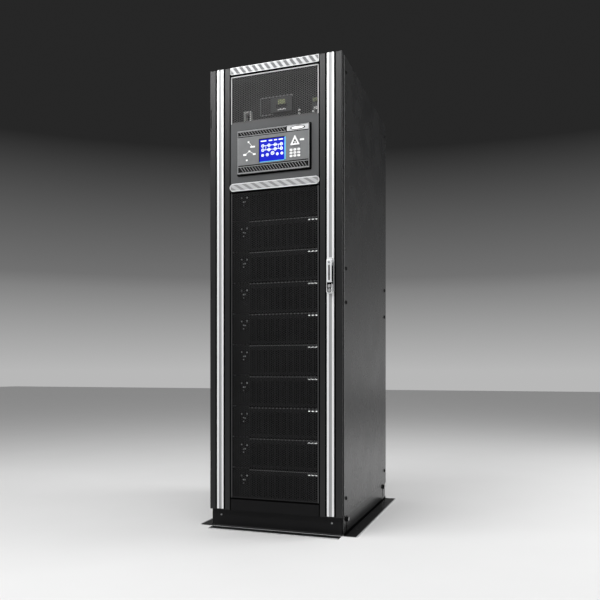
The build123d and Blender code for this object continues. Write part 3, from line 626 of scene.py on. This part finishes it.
for node, coat, bead_finish, top_bead in (("upper_mesh", upper_mesh_lit_coat, painted_highlight_coat, True),
                                          ("lower_mesh", mesh_coat, bead_coat, False)):
    sheet = Span(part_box(node))
    face = on_face("front", (0, sheet.low.y, 0))
    edges = frame_plate(around(sheet, 0, 2 * MM), around(sheet, -2 * sheet_border, 1 * MM), -sheet_thickness, 0)
    border = piece(f"{node}_border", face, [edges], coat, "mesh_steel")
    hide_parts(node)
    bead_x = sheet.high.x - bead_inset
    bead_top = sheet.high.z - bead_inset - top_bead * top_bead_drop
    beads = [bead((u, sheet.low.z + bead_width), (u, bead_top)) for u in (-bead_x, bead_x)]
    if top_bead:
        beads.append(bead((-bead_x, bead_top), (bead_x, bead_top)))
    piece(f"{node}_bead", face, beads, bead_finish, "mesh_steel", 0.5 * MM)
    # Painted shadow: black strips across the sheet's ends
    end_shadows = [slab(0, (sheet.low.z, sheet.high.z)[end] + offset * MM, sheet.size.x, height * MM, 0.5 * MM, 0,
                  reach * MM) for end, offset, height, reach in mesh_end_shadows[node]]
    piece(f"{node}_seal", face, end_shadows, painted_shade_black, "mesh_steel")
    for part in range(mesh_parts[node]):
        holes = lattice((sheet.low.x + sheet_border, sheet.low.z + sheet_border),
                        (sheet.high.x - sheet_border, sheet.high.z - sheet_border),
                        -lattice_inset, lattice_inset - sheet_thickness, part, mesh_parts[node])
        piece(f"{node}_holes_{part + 1}", face, [holes], coat, "mesh_steel")

# Painted shadow as black strips in the gaps: between the columns and the middle of the door, and beside the trim
# strips
column = Span(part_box("door_right_column"))
trim = Span(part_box("right_trim_strip"))
cap_low_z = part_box("door_top_cap")[0].z
middle_gap_shades = [slab(side * (column.low.x - middle_gap_shade_width / 2), (column.low.z + cap_low_z) / 2, middle_gap_shade_width,
                     cap_low_z - column.low.z, 1 * MM, -middle_gap_shade_depth, middle_gap_shade_reach) for side in (-1, 1)]
piece("door_middle_seals", on_face("front", (0, column.low.y, 0)), middle_gap_shades, painted_shade_black, "door_paint")
trim_gap_shades = [slab(side * x, trim.middle.z, trim_gap_shade_width, trim.size.z, 0.5 * MM, 0, trim_gap_shade_reach)
              for side in (-1, 1) for x in (trim.low.x - trim_gap_shade_width / 2, trim.high.x + trim_gap_shade_width / 2)]
piece("trim_gap_shades", on_face("front", (0, trim.high.y, 0)), trim_gap_shades, painted_shade_black, "door_paint")

# Module fronts: the same details on each, as one piece of each kind
module_low, module_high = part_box("power_module_01")
ear_screws = [lathe(x, -drop * MM, ear_screw_profile, MM, 18)
              for x in (module_low.x + ear_screw_inset, module_high.x - ear_screw_inset) for drop in ear_screw_drops]
unplaced = Matrix.Identity(4)


def module_piece(name, setback, shapes, finish, bevel=0.0, slot="module_casing", count=module_count):
    """One piece that has these shapes on the front of each module."""
    solids = []
    for number in range(1, count + 1):
        low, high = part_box(f"power_module_{number:02d}")
        solids.append(placed(on_face("front", (0, low.y + setback, high.z)), shapes))
    piece(name, unplaced, solids, finish, slot, bevel)


# Painted highlight on each front's top edge, painted shade on its slot floors, painted shadow in the gap above it
module_piece("module_top_edges", 0, [plate(top_edge_highlight, 0, 0.5)], module_edge_highlight)
module_piece("module_slot_floors", 0, [plate(size, -6, -5) for size in module_slots], opening_shade_black)
module_piece("module_top_gaps", fascia_setback, [plate(top_gap, 0, 4.2)], painted_shade_black)
module_piece("module_marking_plates", 0, [plate(marking_plate, 0, 0.5)], dark_window, 0.15 * MM, count=marked_count)
module_piece("module_marking_bars", 0, [plate(size, 0.5, 0.8) for size in marking_bars], marking_pale,
             count=marked_count)
module_piece("module_light_windows", fascia_setback, [plate(light_window, 0, 0.6)], band_plastic, 0.2 * MM)
module_piece("module_lights", fascia_setback, [plate(size, 0.6, 1.0) for size in module_lights], lamp_pale, 0.15 * MM)
module_piece("module_ear_screws", fascia_setback, ear_screws, screw_black, slot="galvanised_steel")

# Display: two ribbed bands, a rim, and the face between the bands with an opening for the screen
housing = Span(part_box("display_housing"))
screen = Span(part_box("display_screen"))
housing_face = on_face("front", (0, housing.low.y, 0))
screen_face = on_face("front", (0, screen.low.y, 0))
panel_face = on_face("front", (0, housing.low.y - face_height, 0))
band_low_x, band_high_x = housing.low.x + band_edge, housing.high.x - band_edge
upper_band = (housing.high.z - upper_band_depth, housing.high.z - band_edge)
lower_band = (housing.low.z + band_edge, housing.low.z + lower_band_depth)


def ribbed_band(low_x, high_x, low_z, high_z):
    """The ribs that slant across a dark band, and the rails above and below them."""
    shapes = []
    lean = (high_z - low_z) * rib_lean
    count = int((high_x - low_x - lean - band_end_margin) / rib_pitch)
    start = (low_x + high_x) / 2 - (count * rib_pitch + lean) / 2
    top, bottom = high_z - rail_height - rail_gap, low_z + rail_height + rail_gap
    for step in range(count + 1):
        x = start + step * rib_pitch
        corners = [(x, top), (x + lean, bottom), (x + lean + rib_width, bottom), (x + rib_width, top)]
        shapes.append(prism(corners, 0, rib_height))
    for rail_z in (low_z + rail_height / 2, high_z - rail_height / 2):
        shapes.append(slab((low_x + high_x) / 2, rail_z, high_x - low_x, rail_height, 0.5 * MM, 0, rib_height))
    return shapes


piece("display_band_ribs", housing_face, ribbed_band(band_low_x, badge_left - badge_gap, *upper_band)
      + ribbed_band(band_low_x, band_high_x, *lower_band), band_rib_plastic, "display_grey")
piece("display_rim", housing_face, [frame_plate(around(housing, -3 * MM, 3 * MM), around(housing, -8 * MM, 2 * MM),
                                                0, 1 * MM)], band_rib_plastic, "display_grey", 0.4 * MM)
face_low_z, face_high_z = lower_band[1] + face_foot_gap, upper_band[0] - face_top_gap
face_outer = rounded(0, (face_low_z + face_high_z) / 2, housing.size.x - face_margin, face_high_z - face_low_z,
                     1.5 * MM)
piece("display_face_plate", housing_face, [frame_plate(face_outer, around(screen, 3 * MM, 1.5 * MM), 0, face_height)],
      face_plastic, "display_grey", 0.3 * MM)
# Painted shadow: a black ring on the plate round the housing
piece("display_shadow_ring", on_face("front", (0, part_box("display_plate")[0].y, 0)),
      [frame_plate(around(housing, 9 * MM, 5 * MM), around(housing, -1 * MM, 1 * MM), 0, 0.9 * MM)], painted_shade_black,
      "display_grey")

badge_z = sum(upper_band) / 2
badge_plate = slab((badge_left + band_high_x) / 2, badge_z, band_high_x - badge_left, upper_band[1] - upper_band[0],
                   2 * MM, 0, rib_height)
piece("display_badge_plate", housing_face, [badge_plate], badge_silver, "silver_trim", 0.3 * MM)
oval, oval_inner = [ring(badge_oval_x, badge_z, radius_u, 40, radius_v=radius_v)
                    for radius_u, radius_v in (badge_oval_radii, badge_inner_radii)]
piece("display_badge_rim", housing_face, [frame_plate(oval, oval_inner, 0.8 * MM, 1.8 * MM)], band_plastic,
      "silver_trim", 0.25 * MM)
piece("display_badge_oval", housing_face, [prism(oval_inner, 0.8 * MM, 1.6 * MM)], oval_silver, "silver_trim",
      0.2 * MM)

# Screen bezel and a plain status picture: bars above, a power path in the middle, five round icons below
piece("screen_bezel", panel_face, [frame_plate(around(screen, 6 * MM, 3 * MM), around(screen, -1 * MM, 1.5 * MM), 0,
                                               0.6 * MM)], dark_window, "display_grey", 0.2 * MM)
lit_edges = [slab(screen.high.x + 3 * MM, screen.middle.z, 6.5 * MM, screen.size.z, 1.5 * MM, 0.6 * MM, 1 * MM),
             slab(screen.middle.x, screen.low.z - 1 * MM, screen.size.x, 3.4 * MM, 1.5 * MM, 0.6 * MM, 1 * MM)]
piece("screen_lit_edges", panel_face, lit_edges, screen_edge, "screen_glass")


def on_screen(share_u, share_v):
    """A place on the screen, by its share of the way from the middle to the edges."""
    return screen.middle.x + share_u * screen.size.x / 2, screen.middle.z + share_v * screen.size.z / 2


def icon_bar(share_u, share_v, width, height):
    """A flat bar on the screen."""
    return slab(*on_screen(share_u, share_v), width * MM, height * MM, 0.4 * min(width, height) * MM, 0, 0.15 * MM)


def icon_ring(share_u, share_v, radius):
    """A flat ring on the screen."""
    outer, inner = [ring(*on_screen(share_u, share_v), size * MM, 28) for size in (radius, radius - icon_line)]
    return frame_plate(outer, inner, 0, 0.2 * MM)


icons = [icon_bar(share_u, 0.84, width, 5) for share_u, width in status_bars]
for share_v in path_heights:
    icons.append(icon_bar(0, share_v, 84, 2))
    for share_u in path_places:
        icons += [icon_ring(share_u, share_v, 7), icon_bar(share_u, share_v, 5, 4)]
icons += [icon_bar(share_u, 0.23, 2, 18) for share_u in (-0.5, 0.5)]
for share_u, share_v, radius in round_icons:
    icons += [icon_ring(share_u, share_v, radius), icon_bar(share_u, share_v, radius * 0.9, radius * 0.6)]
piece("screen_icons", screen_face, icons, screen_pale, "screen_glass")

# Power path lights at the left of the screen, joined by printed lines
path_shapes = [plate((*light, 2), 0, 0.8) for light in power_path]
for first, last in power_lines:
    start, end = [Vector(power_path[index][:2]) for index in (first, last)]
    along = (end - start).normalized()
    across = Vector((-along.y, along.x)) * 0.9
    near, far = start + along * 4, end - along * 4
    corners = [near + across, near - across, far - across, far + across]
    path_shapes.append(prism([(corner.x * MM, corner.y * MM) for corner in corners], 0, 0.25 * MM))
piece("display_power_path", panel_face, path_shapes, print_white, "display_grey", 0.15 * MM)


def cover_outline(inset, corner, steps=5):
    """The button cover's rounded triangle, standing on its base, moved in on every side by inset."""
    apex_u, apex_v = cover_apex
    height = apex_v - cover_foot_z
    inner_radius = cover_width * height / (cover_width + 2 * sqrt(height ** 2 + (cover_width / 2) ** 2))
    middle = Vector((apex_u, cover_foot_z + inner_radius))
    scale = (inner_radius - inset) / inner_radius
    feet = [(apex_u + sign * cover_width / 2, cover_foot_z) for sign in (-1, 1)]
    points = [middle + (Vector(point) - middle) * scale for point in (cover_apex, *feet)]
    curve = []
    for index, point in enumerate(points):
        start = point + (points[index - 1] - point).normalized() * corner
        end = point + (points[(index + 1) % 3] - point).normalized() * corner
        for step in range(steps + 1):
            share = step / steps
            curve.append(tuple(start * (1 - share) ** 2 + point * 2 * share * (1 - share) + end * share ** 2))
    return curve


cover_inner = cover_outline(cover_bar, 2.5 * MM)
piece("button_cover", panel_face, [frame_plate(cover_outline(0, 4 * MM), cover_inner, 0, cover_height)], print_white,
      "display_grey", 0.6 * MM)
piece("button_well", panel_face, [prism(cover_inner, 0, 0.4 * MM)], dark_window, "display_grey")
piece("covered_button", panel_face, [lathe(cover_apex[0], cover_foot_z + button_rise, button_profile, MM, 24)],
      light_grey, "display_grey")
piece("button_marking", panel_face, [plate(button_marking, 0, 0.3)], print_white, "display_grey")

# Keys: a round mark on the middle one, arrows on its neighbours and bars on the corner ones
arrow_turns = {(0, 1): 90, (0, -1): -90, (1, 0): 0, (-1, 0): 180}
keys, key_marks = [], []
for spot in [(column, row) for column in (-1, 0, 1) for row in (-1, 0, 1)]:
    u, v = key_x + spot[0] * key_pitch_x, key_z + spot[1] * key_pitch_z
    keys.append(plate((u, v, 12.5, 9.5, 3), 0, key_height))
    if spot == (0, 0):
        mark = ring(u * MM, v * MM, 1.6 * MM, 20)
    elif spot in arrow_turns:
        mark = ring(u * MM, v * MM, 2.2 * MM, 3, arrow_turns[spot])
    else:
        mark = outline((u, v, 3.6, 1.1, 0.5))
    key_marks.append(prism(mark, key_height * MM, (key_height + 0.2) * MM))
piece("display_keys", panel_face, keys, key_white, "display_grey", 0.4 * MM)
piece("display_key_marks", panel_face, key_marks, dark_print, "display_grey")

# Switch compartment
unit = Span(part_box("switch_unit"))
unit_top = on_face("front", (unit.middle.x, unit.low.y, unit.high.z))
unit_foot = on_face("front", (unit.middle.x, unit.low.y, unit.low.z))
wall_face = on_face("front", (0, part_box("switch_plate")[0].y, 0))
terminals = Span(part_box("terminal_cover"))
surround = frame_plate(outline(surround_outer), outline(surround_inner), 0, 3 * MM)
arrows = [prism([(u * MM, v * MM) for u, v in corners], 0, 1 * MM) for corners in pointers]
wall_screws = [lathe(u * MM, v * MM, screw_profile, MM, 20) for u, v in screw_spots]
for name, face, shapes, finish, bevel in (
        ("switch_label", unit_top, [plate(switch_label, 0, 0.4)], label_green, 0),
        ("switch_label_bar", unit_foot, [plate(label_bar, 0, 0.5)], print_white, 0),
        ("switch_rocker", unit_foot, [plate(rocker, 0, 3)], band_plastic, 0.8 * MM),
        ("switch_surround", wall_face, [surround], band_rib_plastic, 0.5 * MM),
        ("terminal_marks", on_face("front", (0, terminals.low.y, 0)), [plate(size, 0, 1) for size in terminal_marks],
         print_white, 0.2 * MM),
        ("terminal_block", on_face("front", (0, terminals.middle.y, 0)),
         [plate(size, 0, 6) for size in terminal_blocks], label_green, 0.4 * MM),
        ("switch_pointers", wall_face, arrows, print_white, 0),
        ("compartment_screws", wall_face, wall_screws, print_white, 0)):
    piece(name, face, shapes, finish, "switch_moulding", bevel)


# Outside the cabinet: fasteners, seams, and black painted shade in the side brackets' inner corners

def screw_heads(spots, radius):
    """Low button heads with a recess, as turned shapes."""
    return [lathe(u, v, head_profile, radius, 20) for u, v in spots]


panel = Span(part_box("right_side_panel"))
side_faces = {side: on_face(side, (sign * panel.high.x, 0, 0)) for side, sign in sides}
for side, sign in sides:
    heads = screw_heads([(sign * y * MM, z * MM) for y, z in panel_screw_spots], panel_screw_radius)
    piece(f"{side}_panel_screws", side_faces[side], heads, screw_black, "galvanised_steel")
rear_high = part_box("rear_upper_panel")[1]
rear_heads = screw_heads([(sign * (rear_high.x - rear_screw_inset), z * MM)
                          for sign in (-1, 1) for z in rear_screw_heights], panel_screw_radius)
piece("rear_panel_screws", on_face("back", (0, rear_high.y, 0)), rear_heads, screw_black, "galvanised_steel")

seam_low_z, seam_high_z = panel.low.z + seam_margin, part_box("right_front_post")[1].z - seam_margin
for side, sign in sides:
    # Painted highlight strips on the seams' edges, and a painted shadow strip in the gap
    for kind, finish, reach in (("edge", seam_highlight_coat, 0.5 * MM), ("gap", painted_shade_black, 0.3 * MM)):
        strips = [slab(sign * y * MM, (seam_low_z + seam_high_z) / 2, width * MM, seam_high_z - seam_low_z, 1 * MM, 0,
                       reach) for y, width in seam_lines[kind]]
        piece(f"{side}_seam_{kind}", side_faces[side], strips, finish, "panel_paint")

front_face_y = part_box("base_frame")[0].y - bracket_sheet
for side, y in (("front", front_face_y), ("back", -front_face_y)):
    heads = screw_heads([(x * MM, z * MM) for x, z in plinth_screw_spots], plinth_screw_radius)
    piece(f"{side}_bracket_screws", on_face(side, (0, y, 0)), heads, zinc_steel, "galvanised_steel")
for side, sign in sides:
    bolts, crown_highlights, slots, slot_edge_highlights = [], [], [], []
    for y, z, slot_width, slot_highlights_shown in side_bolts:
        u, v, across = sign * y * MM, z * MM, bolt_radius * MM
        bolts += [lathe(u, v, washer_profile, MM, 28),
                  prism(ring(u, v, across, 6, 15), washer_height * MM, bolt_height * MM)]
        # Painted highlight: a thin zinc crown on each dark head
        crown_highlights.append(prism(ring(u, v, 0.86 * across, 24), bolt_height * MM, (bolt_height + crown_height) * MM))
        slot_top = z - 1.6 * bolt_radius
        middle, tall = (slot_top + slot_foot) / 2, slot_top - slot_foot
        slots.append(plate((sign * y, middle, slot_width, tall, 4), 0, 0.3))
        # Painted highlight: pale strips along the slot's edges
        if slot_highlights_shown:
            slot_edge_highlights += [plate((sign * y + edge * (slot_width + slot_highlight_width) / 2, middle, slot_highlight_width, tall,
                                  2), 0, 0.6) for edge in (-1, 1)]
    x, face = sign * panel.high.x, side_faces[side]
    piece(f"{side}_bracket_bolts", face, bolts, screw_black, "galvanised_steel", 0.3 * MM)
    piece(f"{side}_bolt_crowns", face, crown_highlights, zinc_steel, "galvanised_steel")
    # Painted shade in the slots below the bolts
    piece(f"{side}_bracket_slots", face, slots, opening_shade_black, "frame_steel")
    piece(f"{side}_slot_edge_highlights", face, slot_edge_highlights, painted_highlight_coat, "frame_steel", 0.2 * MM)
    low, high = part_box(f"{side}_bracket")
    # Painted shade: a black wedge in the bracket's inner corner
    corner = [(x, bracket_sheet), (x + sign * crease_shade, bracket_sheet), (x, bracket_sheet + crease_shade)]
    ends = [(u, y, z) for y in (low.y + crease_shade_inset, high.y - crease_shade_inset) for u, z in corner]
    loops = [loop[::sign] for loop in ((0, 1, 2), (5, 4, 3), (0, 3, 4, 1), (1, 4, 5, 2), (2, 5, 3, 0))]
    piece(f"{side}_crease_shade", unplaced, [(ends, loops)], painted_shade_black, "frame_steel")
    joint = slab(0, panel.low.z, panel.size.y - panel_foot_size[0], panel_foot_size[1], 3 * MM, 0, 0.25 * MM)
    piece(f"{side}_panel_foot", on_face(side, (x, panel.middle.y, 0)), [joint], black_coat, "panel_paint")

# Handle: black plates of painted shade in the dish's recess, in the lever's groove and along its right side, in the
# gaps round the lock's button and cylinder, and in the key slot
dish = Span(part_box("handle_dish"))
lever = Span(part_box("handle_lever"))
lock = Span(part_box("handle_lock"))
handle_x = dish.middle.x
recess = slab(0, dish.middle.z, dish.size.x - recess_margins[0], dish.size.z - recess_margins[1], recess_radius, 0,
              0.25 * MM)
piece("dish_recess", on_face("front", (handle_x, dish.low.y, 0)), [recess], painted_shade_black, "handle_metal")
groove_low, groove_high = lever.low.z + groove_foot_margin, lever.high.z - groove_top_margin
lever_groove = slab(0, (groove_low + groove_high) / 2, groove_width, groove_high - groove_low, 3.1 * MM, 0, 0.2 * MM)
piece("lever_groove", on_face("front", (handle_x, lever.low.y, 0)), [lever_groove], painted_shade_black, "handle_metal",
      body="handle_lever")
lever_edge_shade_plate = slab(lever.middle.y, (lever.low.z + groove_high) / 2, lever.size.y - edge_shade_margins[0],
                  groove_high - lever.low.z - edge_shade_margins[1], 2 * MM, 0, 0.2 * MM)
piece("lever_edge_shade", on_face("right", (lever.high.x, 0, 0)), [lever_edge_shade_plate], painted_shade_black, "handle_metal",
      body="handle_lever")
button_z, cylinder_z = lock.high.z - button_drop, lock.low.z + cylinder_rise
button_gap = frame_plate(rounded(0, button_z, *button_gap_outer), rounded(0, button_z, *button_gap_inner), 0,
                         0.25 * MM)
cylinder_gap = frame_plate(*(ring(0, cylinder_z, radius, 32) for radius in cylinder_gap_radii), 0, 0.25 * MM)
piece("lock_gaps", on_face("front", (handle_x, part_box("lock_housing")[0].y, 0)), [button_gap, cylinder_gap],
      painted_shade_black, "handle_metal")
key_slot = slab(0, cylinder_z, *key_slot_size, 1 * MM, 0, 0.15 * MM)
piece("key_slot", on_face("front", (handle_x, lock.low.y, 0)), [key_slot], opening_shade_black, "handle_metal")

# Studio: a pale floor and backdrop, soft lamps and the photograph's camera
camera = new_object("camera", bpy.data.cameras.new("camera"))
camera.location = (1.0033, -3.0456, 0.6859)
camera.rotation_euler = (radians(90), 0, radians(18.84))
camera.data.lens = 39.25
camera.data.sensor_width = 36
camera.data.shift_y = 0.1177
camera.data.clip_end = 60
bpy.context.scene.camera = camera

floor_paint = Finish("floor", {"Roughness": 0.9})
floor_colour = (0.72, 0.72, 0.72)
floor_paint.feed(floor_paint.shader, {"Base Color": floor_paint.mix(floor_paint.noise(3, 3), shade(floor_colour, 0.98),
                                                                    shade(floor_colour, 1.02))})
floor_corners = [(-20, -20, 0), (20, -20, 0), (20, 20, 0), (-20, 20, 0)]
floor = mesh_object("floor", floor_corners, [(0, 1, 2, 3)], floor_paint.material)

# Softboxes: place, the point that they look at, size and power
for name, place, target, size, power in (
        ("key_lamp", (-2.0, -2.0, 3.6), (0, -0.45, 1.3), (1.8, 1.8), 62),
        ("head_lamp", (-1.2, -3.5, 3.75), (0, -0.45, 1.6), (1.9, 0.9), 75),
        ("fill_lamp", (2.2, -3.2, 3.2), (0, 0, 1.2), (2.2, 2.2), 24),
        ("side_lamp", (3.6, 1.4, 2.4), (0.3, 0.2, 0.8), (2.0, 2.0), 95),
        ("top_lamp", (0.2, 0.2, 4.8), (0.2, 0, 2), (3.0, 3.0), 45)):
    lamp = new_object(name, bpy.data.lights.new(name, "AREA"))
    lamp.data.shape = "RECTANGLE"
    lamp.data.size, lamp.data.size_y = size
    lamp.data.energy = power
    lamp.location = place
    lamp.rotation_euler = (Vector(target) - Vector(place)).to_track_quat("-Z", "Y").to_euler()

# The backdrop fades from pale at the floor to dark overhead, and the room's own light is even
world = bpy.data.worlds.new("studio")
bpy.context.scene.world = world
world.use_nodes = True
room = Nodes(world.node_tree)
backdrop = next(node for node in room.tree.nodes if node.type == "BACKGROUND")
direction = room.add("ShaderNodeTexCoord", {}).outputs["Generated"]
height = room.add("ShaderNodeSeparateXYZ", {"Vector": direction}).outputs["Z"]
near_floor = room.mix(room.remap(height, 0, 1, 0.0, 0.14), (0.48, 0.48, 0.48), (0.18, 0.18, 0.18))
fade = room.mix(room.remap(height, 0, 1, 0.12, 0.32), near_floor, (0.02, 0.02, 0.02))
ray = room.add("ShaderNodeLightPath", {}).outputs
mirrored = room.calc("MAXIMUM", ray["Is Glossy Ray"], ray["Is Transmission Ray"])
seen = room.calc("MAXIMUM", ray["Is Camera Ray"], mirrored)
room.feed(backdrop, {"Color": room.mix(seen, (0.36, 0.36, 0.36), fade), "Strength": 1.0})
bpy.context.scene.view_settings.view_transform = "Standard"
